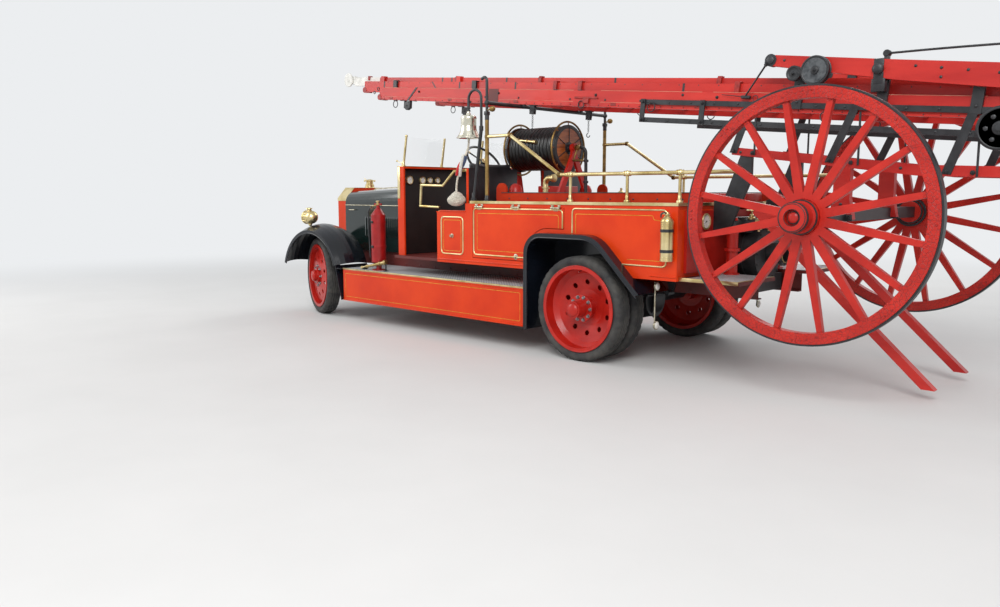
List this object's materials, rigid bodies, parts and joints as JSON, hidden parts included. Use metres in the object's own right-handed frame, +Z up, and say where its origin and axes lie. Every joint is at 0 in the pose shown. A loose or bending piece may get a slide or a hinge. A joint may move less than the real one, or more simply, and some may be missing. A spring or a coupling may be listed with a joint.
{
  "type": "motor fire engine with wheeled escape",
  "caption": "Open-bodied motor fire engine carrying a wheeled sliding escape ladder over its body, with a hose reel, hand bell, side lockers and a rear pump.",
  "frame": {"origin": "middle of the length and width, at road level under the tyres", "axes": "+X points forward, +Y to the vehicle's left, +Z up"},
  "size_m": [8.3049, 2.61, 2.873],
  "materials": {
    "coach_red": "gloss coach paint",
    "wheel_red": "gloss coach paint",
    "ladder_red": "brushed gloss paint on wood",
    "dark_red": "satin paint",
    "black_paint": "gloss stove enamel",
    "black_iron": "brushed black paint on iron",
    "bonnet_dark": "polished dark paint",
    "brass": "polished brass",
    "bell_metal": "polished bell metal",
    "leather": "buttoned hide",
    "tyre": "worn rubber",
    "hose": "rubber hose",
    "reel_wood": "varnished wood",
    "tread": "worn tread plate",
    "cast_iron": "painted casting",
    "glass": "clear plate glass",
    "rope": "cotton rope"
  },
  "bodies": {
    "vehicle": {"chassis_frame": "dark_red", "axles": "black_paint", "road_springs": "black_paint", "front_wings": "black_paint", "rear_wings": "black_paint", "valances": "coach_red", "step_treads": "tread", "radiator": "coach_red", "bonnet": "bonnet_dark", "dash": "coach_red", "windscreen": "brass", "windscreen_glass": "glass", "steering_column": "black_iron", "cab_floor": "dark_red", "seat_base": "coach_red", "seat_cushions": "leather", "body_sides": "coach_red", "deck": "coach_red", "coaming": "brass", "handrails": "brass", "bell": "bell_metal", "bell_post": "black_iron", "bell_rope": "rope", "rope_knot": "rope", "ladder_support": "black_iron", "reel_stand": "wheel_red", "fire_extinguishers": "wheel_red", "brass_extinguisher": "brass", "pump": "cast_iron", "pump_panel": "wheel_red", "rear_platform": "dark_red", "lamps": "brass", "main_ladder": "ladder_red", "carriage_beams": "ladder_red", "carriage_irons": "black_iron", "escape_axle": "black_iron", "lever_beams": "ladder_red"},
    "steer_left": {"stub_axle_left": "black_paint"},
    "steer_right": {"stub_axle_right": "black_paint"},
    "track_link": {"track_rod": "black_paint"},
    "wheel_front_left": {"front_wheel_left": "wheel_red", "front_tyre_left": "tyre"},
    "wheel_front_right": {"front_wheel_right": "wheel_red", "front_tyre_right": "tyre"},
    "wheels_rear_left": {"rear_wheels_left": "wheel_red", "rear_tyres_left": "tyre"},
    "wheels_rear_right": {"rear_wheels_right": "wheel_red", "rear_tyres_right": "tyre"},
    "hand_wheel": {"steering_wheel": "black_paint"},
    "flap_left": {"locker_flap_left": "coach_red"},
    "flap_right": {"locker_flap_right": "coach_red"},
    "ladder_middle": {"middle_ladder": "ladder_red"},
    "ladder_top": {"top_ladder": "ladder_red"},
    "escape_left": {"escape_wheel_left": "ladder_red", "escape_tyre_left": "black_iron"},
    "escape_right": {"escape_wheel_right": "ladder_red", "escape_tyre_right": "black_iron"},
    "winch": {"winch_drum": "black_iron"},
    "reel": {"reel_drum": "reel_wood", "reel_hose": "hose"}
  },
  "joints": [
    {"name": "steer_left_turn", "type": "hinge", "parent": "vehicle", "child": "steer_left", "pos_m": [3.55819, 0.69, 0.4575], "axis": [0, 0, 1], "range_deg": [-12, 48]},
    {"name": "steer_right_turn", "type": "hinge", "parent": "vehicle", "child": "steer_right", "pos_m": [3.55819, -0.69, 0.4575], "axis": [0, 0, 1], "range_deg": [-12, 48]},
    {"name": "track_rod_turn", "type": "hinge", "parent": "steer_left", "child": "track_link", "pos_m": [3.39651, 0.74253, 0.3575], "axis": [0, 0, 1], "range_deg": [-48, 12]},
    {"name": "steering_wheel_turn", "type": "hinge", "parent": "vehicle", "child": "hand_wheel", "pos_m": [1.84819, -0.151, 1.8], "axis": [-0.766, 0, 0.6428], "range_deg": [-144, 576]},
    {"name": "front_left_spin", "type": "hinge", "parent": "steer_left", "child": "wheel_front_left", "pos_m": [3.60763, 0.84217, 0.4575], "axis": [0.309, 0.9511, 0], "continuous": true},
    {"name": "front_right_spin", "type": "hinge", "parent": "steer_right", "child": "wheel_front_right", "pos_m": [3.50875, -0.84217, 0.4575], "axis": [0.309, 0.9511, 0], "continuous": true},
    {"name": "rear_left_spin", "type": "hinge", "parent": "vehicle", "child": "wheels_rear_left", "pos_m": [-0.44181, 0.849, 0.4575], "axis": [0, 1, 0], "continuous": true},
    {"name": "rear_right_spin", "type": "hinge", "parent": "vehicle", "child": "wheels_rear_right", "pos_m": [-0.44181, -0.849, 0.4575], "axis": [0, 1, 0], "continuous": true},
    {"name": "flap_left_swing", "type": "hinge", "parent": "vehicle", "child": "flap_left", "pos_m": [-0.24681, 0.9893, 1.319], "axis": [1, 0, 0], "range_deg": [0, 100]},
    {"name": "flap_right_swing", "type": "hinge", "parent": "vehicle", "child": "flap_right", "pos_m": [-0.24681, -0.9893, 1.319], "axis": [-1, 0, 0], "range_deg": [0, 100]},
    {"name": "middle_slide", "type": "slide", "parent": "vehicle", "child": "ladder_middle", "axis": [0.9956, 0, 0.0941], "range_m": [0, 4.5]},
    {"name": "top_slide", "type": "slide", "parent": "ladder_middle", "child": "ladder_top", "axis": [0.9956, 0, 0.0941], "range_m": [0, 4.5]},
    {"name": "winch_turn", "type": "hinge", "parent": "vehicle", "child": "winch", "pos_m": [-3.44229, 0, 1.86108], "axis": [0, 1, 0], "continuous": true},
    {"name": "escape_left_spin", "type": "hinge", "parent": "vehicle", "child": "escape_left", "pos_m": [-2.44181, 1.12, 1.29], "axis": [0, 1, 0], "continuous": true},
    {"name": "escape_right_spin", "type": "hinge", "parent": "vehicle", "child": "escape_right", "pos_m": [-2.44181, -1.12, 1.29], "axis": [0, 1, 0], "continuous": true},
    {"name": "reel_spin", "type": "hinge", "parent": "vehicle", "child": "reel", "pos_m": [0.49219, 0, 1.9], "axis": [1, 0, 0], "continuous": true}
  ],
  "couplings": [
    {"joint": "steer_right_turn", "follows": "steer_left_turn", "ratio": 1},
    {"joint": "track_rod_turn", "follows": "steer_left_turn", "ratio": -1},
    {"joint": "steering_wheel_turn", "follows": "steer_left_turn", "ratio": 12},
    {"joint": "top_slide", "follows": "middle_slide", "ratio": 1}
  ]
}
